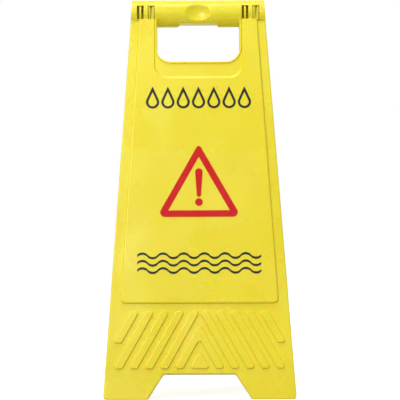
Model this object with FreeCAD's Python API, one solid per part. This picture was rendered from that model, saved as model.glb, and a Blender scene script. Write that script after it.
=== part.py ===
import FreeCAD, Part
import math
import os

from FreeCAD import Vector

# A-frame floor sign: two identical hollow-backed mouldings, hinged to each other inside
# a round handle at the top, with a printed warning on each face.
#
# Every moulding is drawn standing upright in its own frame: the hinge axis is X through
# the origin, the face looks along -Y, and the plane y = 0 is where the two mouldings
# meet when the sign is folded. Each one is then leaned back to its open position.

os.makedirs("parts", exist_ok=True)

# Driving dimensions, in millimetres and degrees.
stand_height = 620.0      # floor to the top of the handle, with the sign open
lean = 12.0               # angle of each panel from upright, with the sign open
top_width = 210.5         # across the panel at the height of the hinge axis
foot_width = 295.0        # across the panel at the floor
handle_radius = 21.5      # outside of the round handle
wall = 2.5                # thickness of every moulded wall
panel_depth = 14.0        # from the folding plane to the face of the border
folding_gap = 0.4         # left between the two mouldings wherever they close together

# Outline of the feet.
foot_corner = 7.0
leg_cut_height = 39.5
leg_cut_top = 110.0
leg_cut_foot = 161.0
leg_cut_corner = 4.5
leg_cut_foot_corner = 2.5
outer_round = 2.0         # on the front edge of the border, all round

# Raised field that carries the print, and the hand hole above it.
field_raise = 4.0
field_above_ribs = 11.5   # plain strip between the field and the ribs
field_border_top = 13.0   # width of the lower border beside the field, at the axis
field_border_foot = 16.5  # the same at the floor
field_corner = 7.5
field_round = 2.6         # on the front edge of the field
hole_width = 130.0
hole_bottom = 83.0        # below the hinge axis
hole_corner = 22.0
recess_width = 139.0
recess_bottom = 110.5     # below the hinge axis
recess_corner = 21.0
recess_depth = 2.5        # below the raised field
recess_side_slope = 1.9   # width of the sloping wall between field and recess, at the sides
recess_foot_slope = 4.6   # the same along the bottom
lip_width = 2.6           # raised lip round the hand hole
lip_raise = 2.2           # above the recess
lip_round = 1.1

# Slanting ribs above the feet.
rib_raise = 3.0
rib_height = 89.5         # of the whole band of ribs
rib_above_cut = 7.8       # plain strip between the ribs and the leg cut-out
rib_pitch = 23.2          # along the panel's width
rib_first = 9.3           # middle of the innermost rib at its lower end
rib_count = 7             # on each side of the middle
rib_width = 12.2
rib_slant = 29.2          # from upright
rib_top_round = 5.0
rib_foot_round = 4.0
rib_round = 1.9           # on the front edge of each rib
rib_side_border = 8.2     # kept clear between the ribs and the panel's side

# Thumb scoop on the front of the handle, and the flat under its middle.
scoop_width = 42.0
scoop_depth = 8.0
scoop_above_axis = 1.5
grip_flat_width = 64.0
grip_flat_height = 2.8
grip_flat_step = 2.5
cove_radius = 12.0        # hollow curve from the handle down to the border at each side
arm_cove_radius = 4.0     # the same down to the raised field

# Hinge: a hook on one moulding snaps over a pin held in a fork on the other.
hinge_from_side = 14.2    # panel side to the middle of the hook or fork farther out
hinge_spacing = 17.2      # from there to the middle of the nearer one
hook_thickness = 3.0
hook_side_gap = 0.5
fork_thickness = 2.2
pin_radius = 3.0
pin_clearance = 0.1
hook_ring = 3.0           # width of material round the pin
hook_mouth = 4.8          # the pin snaps in through this
blade_reach = 9.0         # the blades fill the handle from its wall to this distance
blade_neck = 9.0
fork_floor = 3.0          # plate between the blades of a fork, behind its window
window_side_gap = 1.05    # beside the fork's blades
window_top = 8.0
window_bottom = 13.5

# Stiffening webs behind the face.
web_thickness = 2.0
web_clearance = 4.0       # from the folding plane
web_heights = (150.0, 240.0, 330.0, 420.0)

# Printed film.
film = 0.2
triangle_height = 85.0    # of the inner triangle
triangle_half_base = 47.5
triangle_drop = 33.0      # its base below the middle of the print area
triangle_bar = 10.4
triangle_top_round = 4.0
triangle_foot_round = 7.5
mark_below_apex = 18.5
mark_length = 45.0
mark_top_width = 12.4
mark_foot_width = 6.2
mark_dot_radius = 6.0
mark_dot_drop = 8.5       # middle of the dot below the bar
drop_count = 7
drop_gap = 3.3            # between the bellies of two drops
drop_height = 35.5
drop_below_recess = 13.0
drop_margin = 18.0        # from the side of the field to the end of the row
stroke = 3.6
wave_count = 3
wave_spacing = 11.5
wave_above_field_foot = 75.5
wave_margin = 21.5        # from the side of the field to the end of a wave
wave_half_count = 12
wave_swing = 3.6

# Worked out from the driving dimensions.
axis_height = stand_height - handle_radius
lean_radians = math.radians(lean)
sole_front = (axis_height + panel_depth * math.sin(lean_radians)) / math.cos(lean_radians)
sole_back = axis_height / math.cos(lean_radians)
side_slope = (foot_width - top_width) / 2 / sole_front
half_gap = folding_gap / 2
leg_top = sole_front - leg_cut_height
rib_bottom = leg_top - rib_above_cut
rib_top = rib_bottom - rib_height
field_bottom = rib_top - field_above_ribs
hinge_outer = top_width / 2 - hinge_from_side
hinge_inner = hinge_outer - hinge_spacing
window_half_width = hook_thickness / 2 + hook_side_gap + fork_thickness + window_side_gap
print_middle = (recess_bottom + field_bottom) / 2
triangle_base = print_middle + triangle_drop
triangle_apex = triangle_base - triangle_height
wave_top = field_bottom - wave_above_field_foot
drop_top = recess_bottom + drop_below_recess
reach = 2 * stand_height  # longer than anything it cuts


def rounded_face(corners):
    """Flat face in the XZ plane through (x, z, radius) corners, each rounded to its radius."""
    points = [Vector(x, 0, z) for x, z, radius in corners]
    arcs = []
    for index, (x, z, radius) in enumerate(corners):
        corner = points[index]
        before = points[index - 1] - corner
        after = points[(index + 1) % len(points)] - corner
        half_angle = before.getAngle(after) / 2
        length = min(radius / math.tan(half_angle), 0.48 * before.Length, 0.48 * after.Length)
        start = corner + Vector(before).normalize() * length
        end = corner + Vector(after).normalize() * length
        inward = (Vector(before).normalize() + Vector(after).normalize()).normalize()
        round_radius = length * math.tan(half_angle)
        middle = corner + inward * (round_radius / math.sin(half_angle) - round_radius)
        arcs.append((start, middle, end))
    edges = []
    for index, (start, middle, end) in enumerate(arcs):
        if start.distanceToPoint(end) > 0.01:
            edges.append(Part.Arc(start, middle, end).toShape())
        following = arcs[(index + 1) % len(arcs)][0]
        edges.append(Part.LineSegment(end, following).toShape())
    return Part.Face(Part.Wire(edges))


def prism(face, front, back):
    """Solid with the outline of a face, from one depth to another."""
    return face.translated(Vector(0, front, 0)).extrude(Vector(0, back - front, 0))


def round_front(shape, radius):
    """Round the edges in the foremost plane of a shape."""
    front = min(vertex.Y for vertex in shape.Vertexes)
    rim = [edge for edge in shape.Edges if abs(edge.CenterOfMass.y - front) < 0.001]
    return shape.makeFillet(radius, rim)


def block(x_from, x_to, y_from, y_to, z_from, z_to):
    """Plain box between two corners."""
    size = (x_to - x_from, y_to - y_from, z_to - z_from)
    return Part.makeBox(*size, Vector(x_from, y_from, z_from))


def bar(radius, x_from, x_to):
    """Round bar along the hinge axis."""
    return Part.makeCylinder(radius, x_to - x_from, Vector(x_from, 0, 0), Vector(1, 0, 0))


def upright_to_panel(shape):
    """Turn a shape drawn square to the floor into the frame of the leaning panel."""
    return shape.rotated(Vector(0, 0, 0), Vector(1, 0, 0), lean)


def half_width(below):
    """Half the width of the panel at a distance below the hinge axis."""
    return top_width / 2 + side_slope * below


def panel_outline(top, sole):
    """Front view of the panel, from a height above the axis down to the soles."""
    flare = (leg_cut_foot - leg_cut_top) / 2 / leg_cut_height
    cut_half_foot = leg_cut_top / 2 + flare * (sole - leg_top)
    right = [
        (half_width(-top), top, 0),
        (half_width(sole), -sole, foot_corner),
        (cut_half_foot, -sole, leg_cut_foot_corner),
        (leg_cut_top / 2, -leg_top, leg_cut_corner),
    ]
    left = [(-x, z, radius) for x, z, radius in reversed(right)]
    return rounded_face(right + left)


def field_half_width(below):
    """Half the width of the raised field at a distance below the hinge axis."""
    foot_half = half_width(sole_front) - field_border_foot
    top_half = half_width(0) - field_border_top
    return top_half + (foot_half - top_half) * below / sole_front


def field_outline():
    """Raised field: it follows the sides and runs up into the handle."""
    right = [(field_half_width(0), 0, 0), (field_half_width(field_bottom), -field_bottom, field_corner)]
    left = [(-x, z, radius) for x, z, radius in reversed(right)]
    return rounded_face(right + left)


def slot_outline(width, bottom, corner):
    """Opening that hangs from the axis, square at the top and rounded below."""
    right = [(width / 2, 0, 0), (width / 2, -bottom, corner)]
    left = [(-x, z, radius) for x, z, radius in reversed(right)]
    return rounded_face(right + left)


def recess_cutter(field_face):
    """Shallow recess round the hand hole, its walls sloping down to a flat floor."""
    past_face = 1.2       # the cutter runs a little farther out than the field's face
    sections = []
    for rise in (0, past_face):
        side = recess_side_slope * (rise - 1)
        foot = recess_foot_slope * (rise - 1)
        outline = slot_outline(recess_width + 2 * side, recess_bottom + foot, recess_corner + side)
        depth = field_face + recess_depth * (1 - rise)
        sections.append(outline.OuterWire.translated(Vector(0, depth, 0)))
    return Part.makeLoft(sections, True, True)


def rib_outlines():
    """Slanting ribs on both sides of the middle, the innermost ones joined as chevrons."""
    slant = math.tan(math.radians(rib_slant))
    half_run = rib_width / 2 / math.cos(math.radians(rib_slant))
    top_shift = slant * rib_height
    side = half_width(rib_bottom) - rib_side_border
    outlines = []
    for index in range(rib_count):
        inner = rib_first + index * rib_pitch - half_run
        outer = inner + 2 * half_run
        if inner + half_run < top_shift:
            outlines.append(chevron_outline(inner, outer, slant))
            continue
        lift = max(0, outer - side) / (slant - side_slope)
        right = [
            (outer - top_shift, -rib_top, rib_top_round),
            (outer - slant * lift, -rib_bottom + lift, rib_foot_round),
            (inner - slant * lift, -rib_bottom + lift, rib_foot_round),
            (inner - top_shift, -rib_top, rib_top_round),
        ]
        left = [(-x, z, radius) for x, z, radius in reversed(right)]
        outlines += [rounded_face(right), rounded_face(left)]
    return outlines


def chevron_outline(inner, outer, slant):
    """Rib that meets its mirror image in the middle; a small gap between them is filled."""
    corners = [
        (-outer, -rib_bottom, rib_foot_round),
        (0, -rib_bottom + outer / slant, rib_top_round),
        (outer, -rib_bottom, rib_foot_round),
    ]
    if inner > rib_width / 2:
        corners += [
            (inner, -rib_bottom, rib_foot_round),
            (0, -rib_bottom + inner / slant, rib_foot_round),
            (-inner, -rib_bottom, rib_foot_round),
        ]
    return rounded_face(corners)


def grip_flat(height):
    """Wedge-ended block below the flat under the middle of the handle."""
    top_half = grip_flat_width / 2 - grip_flat_step
    foot_half = grip_flat_width / 2
    outline = rounded_face([
        (-top_half, height, 0),
        (top_half, height, 0),
        (foot_half, height - grip_flat_height, 0),
        (foot_half, -reach, 0),
        (-foot_half, -reach, 0),
        (-foot_half, height - grip_flat_height, 0),
    ])
    return prism(outline, -reach, reach)


def thumb_scoop(extra):
    """Ball that hollows a round dish into the front of the handle."""
    radius = ((scoop_width / 2) ** 2 + scoop_depth ** 2) / 2 / scoop_depth
    distance = handle_radius - scoop_depth + radius
    return upright_to_panel(Part.makeSphere(radius + extra, Vector(0, -distance, scoop_above_axis)))


def handle(inset):
    """Round handle with its scoop and grip flat, or the hollow inside it when inset."""
    above = 2 * handle_radius
    if inset:
        shape = bar(handle_radius - inset, -reach, reach)
        shape = shape.common(prism(inset_outline(above), -reach, reach))
    else:
        shape = bar(handle_radius, -reach, reach)
        shape = shape.common(prism(panel_outline(above, sole_front), -reach, reach))
    shape = shape.cut(grip_flat(-handle_radius + grip_flat_height + inset))
    return shape.cut(thumb_scoop(inset))


def cove(depth, radius):
    """Bar that fills the corner between the handle and a face at this depth, hollowed to the radius."""
    centre_y = -depth - radius
    centre_z = -math.sqrt((handle_radius + radius) ** 2 - centre_y ** 2)
    centre = Vector(0, centre_y, centre_z)
    corner = Vector(0, -depth + 1, -math.sqrt(handle_radius ** 2 - depth ** 2) + 2)
    behind = Vector(0, -depth + 1, centre_z)
    on_face = Vector(0, -depth, centre_z)
    on_handle = centre * (handle_radius / (handle_radius + radius))
    outward = ((on_face + on_handle) * 0.5 - centre).normalize()
    edges = [
        Part.LineSegment(corner, behind).toShape(),
        Part.LineSegment(behind, on_face).toShape(),
        Part.Arc(on_face, centre + outward * radius, on_handle).toShape(),
        Part.LineSegment(on_handle, corner).toShape(),
    ]
    section = Part.Face(Part.Wire(edges)).translated(Vector(-reach, 0, 0))
    return section.extrude(Vector(2 * reach, 0, 0))


def coves():
    """Border cove across the whole width, and field cove across the arms beside the hand hole."""
    border = cove(panel_depth, cove_radius)
    border = border.common(prism(panel_outline(2 * handle_radius, sole_front), -reach, reach))
    arms = cove(panel_depth + field_raise, arm_cove_radius)
    arms = arms.common(prism(field_outline(), -reach, reach))
    inside = prism(slot_outline(recess_width, recess_bottom, recess_corner), -reach, reach)
    return [border.cut(inside), arms.cut(inside)]


def inset_outline(top):
    """Panel outline drawn in by one wall all round, above the slanted soles."""
    return panel_outline(top, sole_back).makeOffset2D(-wall)


def moulding_skin():
    """Outside of the moulding, still full of material."""
    panel = round_front(prism(panel_outline(0, sole_front), -panel_depth, 0), outer_round)
    field_face = -panel_depth - field_raise
    recess_face = field_face + recess_depth
    field = round_front(prism(field_outline(), field_face, -wall), field_round)
    field = field.cut(recess_cutter(field_face))
    lip_outline = slot_outline(hole_width + 2 * lip_width, hole_bottom + lip_width, hole_corner + lip_width)
    hole = slot_outline(hole_width, hole_bottom, hole_corner)
    body = panel.multiFuse([field] + ribs() + coves()).cut(prism(hole, -reach, reach))
    lip = round_front(prism(lip_outline.cut(hole), recess_face - lip_raise, -wall), lip_round)
    return body.multiFuse([lip, handle(0)]).removeSplitter()


def ribs():
    """Slanting ribs with rounded fronts, their backs sunk into the face."""
    front = -panel_depth - rib_raise
    return [round_front(prism(outline, front, -panel_depth + 1), rib_round) for outline in rib_outlines()]


def moulding_hollow():
    """Space behind the face, left open to the back."""
    rim = slot_outline(hole_width + 2 * wall, hole_bottom + wall, hole_corner + wall)
    recess = slot_outline(recess_width + 2 * wall, recess_bottom + wall, recess_corner + wall)
    pocket = prism(inset_outline(0), -panel_depth + wall, reach)
    deep = prism(field_outline().makeOffset2D(-wall), -panel_depth - field_raise + wall, 0)
    deep = deep.cut(prism(recess, -reach, reach))
    pocket = pocket.fuse(deep).cut(prism(rim, -reach, reach))
    return pocket.fuse(handle(wall))


def stiffening_webs(hollow):
    """Cross webs and one upright web that tie the face to its side walls."""
    front = -panel_depth - field_raise
    webs = []
    for height in web_heights:
        z_from = -height - web_thickness / 2
        webs.append(block(-reach, reach, front, -web_clearance, z_from, z_from + web_thickness))
    half = web_thickness / 2
    webs.append(block(-half, half, front, -web_clearance, -field_bottom, -recess_bottom - wall))
    return [web.common(hollow) for web in webs]


def blade(middle, thickness, round_radius):
    """Flat plate across the inside of the handle, with a round end on the hinge axis."""
    x_from = middle - thickness / 2
    x_to = middle + thickness / 2
    root = bar(handle_radius - wall + 0.4, x_from, x_to)
    root = root.cut(block(x_from - 1, x_to + 1, -blade_reach, reach, -reach, reach))
    neck = block(x_from, x_to, -blade_reach - 1, 0, -blade_neck / 2, blade_neck / 2)
    return root.multiFuse([neck, bar(round_radius, x_from, x_to)])


def hook(middle):
    """Blade that ends in a snap ring, open towards the other moulding."""
    ring = pin_radius + pin_clearance + hook_ring
    shape = blade(middle, hook_thickness, ring)
    x_from = middle - hook_thickness
    x_to = middle + hook_thickness
    shape = shape.cut(bar(pin_radius + pin_clearance, x_from, x_to))
    mouth = block(x_from, x_to, 0, 2 * ring, -hook_mouth / 2, hook_mouth / 2)
    return shape.cut(mouth)


def fork(middle):
    """Two blades with the hinge pin between them."""
    offset = hook_thickness / 2 + hook_side_gap + fork_thickness / 2
    end_radius = pin_radius + hook_ring - 0.4
    pin = bar(pin_radius, middle - offset, middle + offset)
    blades = [blade(middle + side * offset, fork_thickness, end_radius) for side in (-1, 1)]
    inside = bar(handle_radius - wall + 0.4, middle - window_half_width, middle + window_half_width)
    plate = block(-reach, reach, -blade_reach - fork_floor, -blade_reach, -reach, reach)
    return pin.multiFuse(blades + [plate.common(inside)])


def hinge_windows():
    """Openings through the front of the handle, one before each hook and fork."""
    front = -handle_radius - 1
    windows = []
    for middle in (-hinge_outer, -hinge_inner, hinge_inner, hinge_outer):
        x_from = middle - window_half_width
        x_to = middle + window_half_width
        windows.append(block(x_from, x_to, front, -blade_reach, -window_bottom, window_top))
    return windows


def moulding():
    """One complete panel, upright, with its half of the handle and of the hinge."""
    skin = moulding_skin()
    hollow = moulding_hollow()
    shell = skin.cut(hollow).multiFuse(stiffening_webs(hollow))
    near_side = block(-reach, reach, -reach, -half_gap, -reach, reach)
    shell = shell.common(near_side).common(upright_to_panel(near_side))
    for window in hinge_windows():
        shell = shell.cut(window)
    hinge_pieces = [hook(-hinge_outer), fork(-hinge_inner), hook(hinge_inner), fork(hinge_outer)]
    return shell.multiFuse(hinge_pieces).removeSplitter()


def printed(face):
    """Thin film of an outline, lying on the raised field."""
    field_face = -panel_depth - field_raise
    return prism(face, field_face - film, field_face)


def warning_triangle():
    """Triangular ring: sharp inside, rounded outside."""
    half_apex = math.atan(triangle_half_base / (triangle_base - triangle_apex))
    half_foot = (math.pi / 2 - half_apex) / 2
    outer_half = triangle_half_base + triangle_bar / math.tan(half_foot)
    outer_apex = triangle_apex - triangle_bar / math.sin(half_apex)
    outer_base = triangle_base + triangle_bar
    outer = rounded_face([
        (0, -outer_apex, triangle_top_round),
        (outer_half, -outer_base, triangle_foot_round),
        (-outer_half, -outer_base, triangle_foot_round),
    ])
    inner = rounded_face([
        (0, -triangle_apex, 0),
        (triangle_half_base, -triangle_base, 0),
        (-triangle_half_base, -triangle_base, 0),
    ])
    return printed(outer.cut(inner))


def exclamation_mark():
    """Tapered bar and dot inside the triangle."""
    mark_top = triangle_apex + mark_below_apex
    mark_bottom = mark_top + mark_length
    bar_face = rounded_face([
        (-mark_top_width / 2, -mark_top, 0.45 * mark_top_width),
        (mark_top_width / 2, -mark_top, 0.45 * mark_top_width),
        (mark_foot_width / 2, -mark_bottom, 0.45 * mark_foot_width),
        (-mark_foot_width / 2, -mark_bottom, 0.45 * mark_foot_width),
    ])
    centre = Vector(0, 0, -mark_bottom - mark_dot_drop)
    circle = Part.Circle(centre, Vector(0, 1, 0), mark_dot_radius).toShape()
    dot_face = Part.Face(Part.Wire([circle]))
    return Part.makeCompound([printed(bar_face), printed(dot_face)])


def drop_outline(middle, radius):
    """Water drop: a round belly with two straight flanks that meet in a point above."""
    centre = -drop_top - drop_height + radius
    rise = -drop_top - centre
    touch = math.acos(radius / rise)
    flank_x = radius * math.sin(touch)
    flank_z = centre + radius * math.cos(touch)
    tip = Vector(middle, 0, -drop_top)
    left = Vector(middle - flank_x, 0, flank_z)
    right = Vector(middle + flank_x, 0, flank_z)
    foot = Vector(middle, 0, centre - radius)
    edges = [
        Part.LineSegment(tip, left).toShape(),
        Part.Arc(left, foot, right).toShape(),
        Part.LineSegment(right, tip).toShape(),
    ]
    return Part.Face(Part.Wire(edges))


def drop_row():
    """Row of water drops drawn in line."""
    drops = []
    half_row = field_half_width(drop_top) - drop_margin
    drop_radius = (half_row - (drop_count - 1) * drop_gap / 2) / drop_count
    for index in range(drop_count):
        middle = (half_row - drop_radius) * (2 * index / (drop_count - 1) - 1)
        outline = drop_outline(middle, drop_radius)
        drops.append(printed(outline.cut(outline.makeOffset2D(-stroke))))
    return Part.makeCompound(drops)


def wave_outline(top):
    """Wavy line of even height made of arcs that swing up and down in turn."""
    start = -field_half_width(wave_top) + wave_margin
    wave_half_length = -2 * start / wave_half_count
    chains = []
    for level in (-top, -top - stroke):
        chain = []
        for index in range(wave_half_count):
            x_from = start + index * wave_half_length
            swing = wave_swing if index % 2 == 0 else -wave_swing
            left = Vector(x_from, 0, level)
            crest = Vector(x_from + wave_half_length / 2, 0, level + swing)
            right = Vector(x_from + wave_half_length, 0, level)
            chain.append(Part.Arc(left, crest, right).toShape())
        chains.append(chain)
    ends = []
    for x in (start, -start):
        ends.append(Part.LineSegment(Vector(x, 0, -top), Vector(x, 0, -top - stroke)).toShape())
    edges = Part.sortEdges(chains[0] + chains[1] + ends)[0]
    return Part.Face(Part.Wire(edges))


def wave_lines():
    """Wavy water lines, one below the other."""
    return Part.makeCompound([
        printed(wave_outline(wave_top + index * wave_spacing)) for index in range(wave_count)
    ])


def stand(shape):
    """Lean a panel's shape to its open position, its hinge axis at the right height."""
    leaned = shape.rotated(Vector(0, 0, 0), Vector(1, 0, 0), -lean)
    return leaned.translated(Vector(0, 0, axis_height))


def write_node(name, shape):
    """Write one piece of the front panel, and the same piece turned round for the rear."""
    shape.exportStep("parts/front_" + name + ".step")
    rear = shape.rotated(Vector(0, 0, 0), Vector(0, 0, 1), 180)
    rear.exportStep("parts/rear_" + name + ".step")


floor = block(-reach, reach, -reach, reach, -reach, 0)
panel = stand(moulding()).cut(floor)
write_node("panel", panel)
write_node("warning_triangle", stand(warning_triangle()))
write_node("exclamation_mark", stand(exclamation_mark()))
write_node("drop_row", stand(drop_row()))
write_node("wave_lines", stand(wave_lines()))
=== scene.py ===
import math

import bmesh
import bpy
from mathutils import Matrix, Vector


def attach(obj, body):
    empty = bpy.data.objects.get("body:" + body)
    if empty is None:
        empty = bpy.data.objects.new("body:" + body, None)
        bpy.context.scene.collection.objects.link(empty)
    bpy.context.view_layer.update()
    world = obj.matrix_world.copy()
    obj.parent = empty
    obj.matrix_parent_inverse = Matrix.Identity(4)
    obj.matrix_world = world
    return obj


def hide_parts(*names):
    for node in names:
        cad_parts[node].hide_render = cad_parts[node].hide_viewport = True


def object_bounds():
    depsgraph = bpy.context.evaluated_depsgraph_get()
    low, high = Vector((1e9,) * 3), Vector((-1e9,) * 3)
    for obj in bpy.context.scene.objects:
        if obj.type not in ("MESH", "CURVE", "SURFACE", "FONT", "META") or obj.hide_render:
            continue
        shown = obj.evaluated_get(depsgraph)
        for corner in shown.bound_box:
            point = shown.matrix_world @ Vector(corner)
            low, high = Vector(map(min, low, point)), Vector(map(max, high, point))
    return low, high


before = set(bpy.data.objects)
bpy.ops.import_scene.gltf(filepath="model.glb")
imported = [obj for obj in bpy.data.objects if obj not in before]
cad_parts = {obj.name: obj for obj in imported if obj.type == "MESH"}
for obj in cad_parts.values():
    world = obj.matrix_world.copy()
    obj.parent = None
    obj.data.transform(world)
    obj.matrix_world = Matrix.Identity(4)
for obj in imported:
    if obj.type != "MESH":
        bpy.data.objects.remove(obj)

cad_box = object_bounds()


# ---- Camera ----
# A long lens far in front of the sign, level with a point just below its middle, so that the
# sign fills the frame from top to bottom. The camera is rolled by a quarter of a degree.
sign_low, sign_high = (Vector(corner) for corner in cad_box)
sign_height = sign_high.z - sign_low.z
camera_distance = 3.5
camera_sideways = 0.0016
camera_height = 0.4898 * sign_height
camera_roll = math.radians(0.27)
camera_lens = 198.9       # millimetres, on a sensor 36 mm wide

bpy.ops.object.select_all(action="DESELECT")
bpy.ops.object.camera_add(
    location=(camera_sideways, -camera_distance, camera_height),
    rotation=(math.radians(90), camera_roll, 0),
)
camera = bpy.context.object
camera.name = "camera"
camera.data.lens = camera_lens
camera.data.sensor_width = 36
bpy.context.scene.camera = camera
bpy.context.scene.view_settings.view_transform = "Standard"


# ---- Floor ----
# A wide pale floor that the sign stands on. It glows to the eye and in reflections, so that it
# looks white, and it still takes a soft shadow.
floor_size = 60.0
floor_grey = 0.45
floor_glow = 0.8


def eye_rays(nodes, links):
    """A value of 1 on rays that the camera sends, also by way of a mirror or through a body."""
    rays = nodes.new("ShaderNodeLightPath")
    seen = nodes.new("ShaderNodeMath")
    seen.operation = "ADD"
    seen_through = nodes.new("ShaderNodeMath")
    seen_through.operation = "ADD"
    links.new(rays.outputs["Is Camera Ray"], seen.inputs[0])
    links.new(rays.outputs["Is Glossy Ray"], seen.inputs[1])
    links.new(seen.outputs[0], seen_through.inputs[0])
    links.new(rays.outputs["Is Transmission Ray"], seen_through.inputs[1])
    return seen_through.outputs[0]


bpy.ops.mesh.primitive_plane_add(size=floor_size)
floor = bpy.context.object
floor.name = "floor"

floor_paint = bpy.data.materials.new("floor_paint")
floor_paint.use_nodes = True
nodes = floor_paint.node_tree.nodes
links = floor_paint.node_tree.links
nodes.clear()
output = nodes.new("ShaderNodeOutputMaterial")
paint = nodes.new("ShaderNodeBsdfDiffuse")
paint.inputs["Color"].default_value = (floor_grey, floor_grey, floor_grey, 1)
glow = nodes.new("ShaderNodeEmission")
brightness = nodes.new("ShaderNodeMath")
brightness.operation = "MULTIPLY"
brightness.inputs[1].default_value = floor_glow
both = nodes.new("ShaderNodeAddShader")
links.new(eye_rays(nodes, links), brightness.inputs[0])
links.new(brightness.outputs[0], glow.inputs["Strength"])
links.new(paint.outputs[0], both.inputs[0])
links.new(glow.outputs[0], both.inputs[1])
links.new(both.outputs[0], output.inputs["Surface"])
floor.data.materials.append(floor_paint)


# ---- Room light ----
# Pale walls all round, white to the eye and in reflections and half as bright as a light.
# Three soft square lamps: one in front on the left, one over the handle, one behind.
walls_seen = 1.0
walls_as_light = 0.49

room = bpy.data.worlds.new("room")
bpy.context.scene.world = room
room.use_nodes = True
nodes = room.node_tree.nodes
links = room.node_tree.links
nodes.clear()
output = nodes.new("ShaderNodeOutputWorld")
walls = nodes.new("ShaderNodeBackground")
walls.inputs["Color"].default_value = (1, 1, 1, 1)
strength = nodes.new("ShaderNodeMapRange")
strength.inputs["To Min"].default_value = walls_as_light
strength.inputs["To Max"].default_value = walls_seen
links.new(eye_rays(nodes, links), strength.inputs["Value"])
links.new(strength.outputs["Result"], walls.inputs["Strength"])
links.new(walls.outputs[0], output.inputs["Surface"])


def soft_lamp(name, place, size, power):
    """A square studio lamp, so many metres wide and watts strong, turned to the sign's middle."""
    sign_middle = Vector((0, 0, sign_height / 2))
    bpy.ops.object.light_add(type="AREA", location=place)
    lamp = bpy.context.object
    lamp.name = name
    lamp.data.size = size
    lamp.data.energy = power
    lamp.rotation_euler = (sign_middle - Vector(place)).to_track_quat("-Z", "Y").to_euler()


soft_lamp("key_lamp", (-1.1, -2.6, 1.6), size=1.2, power=41)
soft_lamp("top_lamp", (-0.3, -0.5, 2.2), size=1.0, power=15)
soft_lamp("fill_lamp", (1.3, 2.6, 1.6), size=1.4, power=36)


# ---- Panels ----
# Each panel is one injection moulding in glossy yellow polypropylene, 2.5 mm thick, open at
# the back, with its front edges rounded. The two mouldings are the same, and are pushed
# together at the handle, pin into hook. Their faces are broad and flat between small radii.
def noise(nodes, links, place, scale, detail, distortion=0.0):
    """A noise texture laid over the places given, in lumps one over its scale across."""
    texture = nodes.new("ShaderNodeTexNoise")
    texture.inputs["Scale"].default_value = scale
    texture.inputs["Detail"].default_value = detail
    texture.inputs["Distortion"].default_value = distortion
    links.new(place, texture.inputs["Vector"])
    return texture.outputs["Fac"]


def bumps(nodes, links, height, strength, distance):
    """A bump node that reads its height from a texture."""
    bump = nodes.new("ShaderNodeBump")
    bump.inputs["Strength"].default_value = strength
    bump.inputs["Distance"].default_value = distance
    links.new(height, bump.inputs["Height"])
    return bump


def mixed_colour(nodes, links, share, first, second):
    """A colour between two, by the share that a texture gives."""
    mix = nodes.new("ShaderNodeMix")
    mix.data_type = "RGBA"
    mix.inputs["A"].default_value = (*first, 1)
    mix.inputs["B"].default_value = (*second, 1)
    links.new(share, mix.inputs["Factor"])
    return mix.outputs["Result"]


def yellow_plastic():
    """Glossy moulded yellow: slightly wavy surface, faint flow marks and light scuffing."""
    material = bpy.data.materials.new("yellow_plastic")
    material.use_nodes = True
    nodes = material.node_tree.nodes
    links = material.node_tree.links
    shader = nodes["Principled BSDF"]
    shader.inputs["Subsurface Weight"].default_value = 0.6
    shader.inputs["Subsurface Radius"].default_value = (1.0, 0.35, 0.02)
    shader.inputs["Subsurface Scale"].default_value = 0.004
    place = nodes.new("ShaderNodeTexCoord").outputs["Object"]

    # Pigment drifts a little along the direction the plastic flowed in the tool.
    flow = nodes.new("ShaderNodeMapping")
    flow.inputs["Scale"].default_value = (9, 9, 4)
    links.new(place, flow.inputs["Vector"])
    pigment = noise(nodes, links, flow.outputs["Vector"], scale=1.0, detail=3.0)
    colour = mixed_colour(nodes, links, pigment, (0.80, 0.672, 0.004), (0.865, 0.755, 0.008))
    links.new(colour, shader.inputs["Base Color"])

    # Wiping and handling leave the gloss uneven, in broad slanting smears with fine scuffs.
    slant = nodes.new("ShaderNodeMapping")
    slant.inputs["Rotation"].default_value = (0, math.radians(38), 0)
    slant.inputs["Scale"].default_value = (5, 5, 14)
    links.new(place, slant.inputs["Vector"])
    smears = noise(nodes, links, slant.outputs["Vector"], scale=1.0, detail=2.0, distortion=0.8)
    scuffs = noise(nodes, links, place, scale=90.0, detail=5.0)
    wear = nodes.new("ShaderNodeMix")
    wear.inputs["Factor"].default_value = 0.25
    links.new(smears, wear.inputs["A"])
    links.new(scuffs, wear.inputs["B"])
    gloss = nodes.new("ShaderNodeMapRange")
    gloss.inputs["From Min"].default_value = 0.35
    gloss.inputs["From Max"].default_value = 0.65
    gloss.inputs["To Min"].default_value = 0.20
    gloss.inputs["To Max"].default_value = 0.42
    links.new(wear.outputs["Result"], gloss.inputs["Value"])
    links.new(gloss.outputs["Result"], shader.inputs["Roughness"])

    # Shrinkage makes broad shallow waves, with a fine grain from the tool over them.
    waves = noise(nodes, links, place, scale=9.0, detail=1.0)
    wave_bump = bumps(nodes, links, waves, strength=0.8, distance=0.006)
    grain = noise(nodes, links, place, scale=900.0, detail=2.0)
    grain_bump = bumps(nodes, links, grain, strength=0.12, distance=0.0003)
    links.new(wave_bump.outputs["Normal"], grain_bump.inputs["Normal"])
    links.new(grain_bump.outputs["Normal"], shader.inputs["Normal"])
    return material


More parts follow.
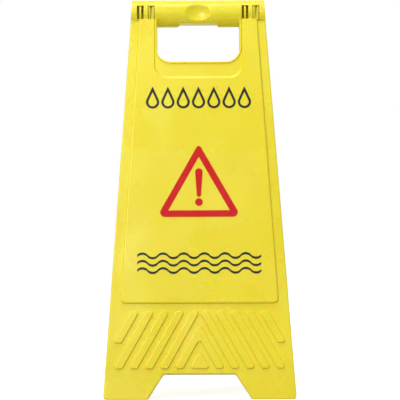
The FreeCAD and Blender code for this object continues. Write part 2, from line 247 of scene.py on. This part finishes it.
def flat_areas(mesh):
    """The faces that lie in broad flat areas of the moulding, as against its rounded edges."""
    flat_width = 0.005        # narrower areas belong to an edge's radius
    same_plane = math.radians(0.2)
    seen = set()
    flat = []
    for first in mesh.faces:
        if first in seen:
            continue
        seen.add(first)
        area = [first]
        for face in area:
            for edge in face.edges:
                if edge.calc_face_angle(1) > same_plane:
                    continue
                for neighbour in edge.link_faces:
                    if neighbour not in seen:
                        seen.add(neighbour)
                        area.append(neighbour)
        corners = [corner.co for face in area for corner in face.verts]
        low = Vector([min(corner[axis] for corner in corners) for axis in range(3)])
        high = Vector([max(corner[axis] for corner in corners) for axis in range(3)])
        if sum(face.calc_area() for face in area) > flat_width * (high - low).length:
            flat.extend(area)
    return flat


def mark_flat_areas(piece):
    """Keep the broad flat faces flat in the shading, and crisp where one ends without a radius."""
    crisp_angle = math.radians(20)
    mesh = bmesh.from_edit_mesh(piece.data)
    bpy.ops.mesh.select_all(action="DESELECT")
    flat = flat_areas(mesh)
    for face in flat:
        face.select = True
        for edge in face.edges:
            if edge.calc_face_angle(0) > crisp_angle:
                edge.smooth = False
    bmesh.update_edit_mesh(piece.data)
    bpy.ops.mesh.mod_weighted_strength(set=True, face_strength="STRONG")


def moulded_panel(name, node, body):
    """One panel moulding, its faces welded together and shaded smooth over the rounded edges."""
    weld_distance = 0.00002
    smooth_angle = math.radians(34)
    piece = bpy.data.objects.new(name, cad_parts[node].data.copy())
    bpy.context.collection.objects.link(piece)
    bpy.ops.object.select_all(action="DESELECT")
    piece.select_set(True)
    bpy.context.view_layer.objects.active = piece
    bpy.ops.object.mode_set(mode="EDIT")
    bpy.ops.mesh.select_all(action="SELECT")
    bpy.ops.mesh.remove_doubles(threshold=weld_distance)
    mark_flat_areas(piece)
    bpy.ops.object.mode_set(mode="OBJECT")
    bpy.ops.object.shade_smooth_by_angle(angle=smooth_angle)
    weights = piece.modifiers.new("face_weights", "WEIGHTED_NORMAL")
    weights.keep_sharp = True
    weights.use_face_influence = True
    bpy.ops.object.modifier_apply(modifier=weights.name)
    piece.data.materials.clear()
    piece.data.materials.append(panel_plastic)
    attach(piece, body)
    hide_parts(node)


panel_plastic = yellow_plastic()
moulded_panel("front_moulding", "front_panel", "front")
moulded_panel("rear_moulding", "rear_panel", "rear")


# ---- Print ----
# The marks are screen-printed on the raised field of both panels: a red warning triangle with
# its exclamation mark, and a row of drops and three wavy lines in black. The ink shines less
# than the plastic under it, and follows the waves of its surface.
def printing_ink(name, dark, light):
    """Smooth ink, a little thinner and paler in places."""
    material = bpy.data.materials.new(name)
    material.use_nodes = True
    nodes = material.node_tree.nodes
    links = material.node_tree.links
    shader = nodes["Principled BSDF"]
    shader.inputs["Specular IOR Level"].default_value = 0.22
    place = nodes.new("ShaderNodeTexCoord").outputs["Object"]
    cover = noise(nodes, links, place, scale=45.0, detail=4.0)
    links.new(mixed_colour(nodes, links, cover, dark, light), shader.inputs["Base Color"])
    gloss = nodes.new("ShaderNodeMapRange")
    gloss.inputs["To Min"].default_value = 0.22
    gloss.inputs["To Max"].default_value = 0.36
    links.new(cover, gloss.inputs["Value"])
    links.new(gloss.outputs["Result"], shader.inputs["Roughness"])
    waves = noise(nodes, links, place, scale=9.0, detail=1.0)
    bump = bumps(nodes, links, waves, strength=0.8, distance=0.006)
    links.new(bump.outputs["Normal"], shader.inputs["Normal"])
    return material


red_ink = printing_ink("red_ink", (0.56, 0.002, 0.002), (0.65, 0.006, 0.004))
black_ink = printing_ink("black_ink", (0.010, 0.008, 0.008), (0.022, 0.017, 0.017))
inks = {
    "warning_triangle": red_ink,
    "exclamation_mark": red_ink,
    "drop_row": black_ink,
    "wave_lines": black_ink,
}
for side in ("front", "rear"):
    for mark, ink in inks.items():
        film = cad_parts[side + "_" + mark]
        film.data.materials.clear()
        film.data.materials.append(ink)
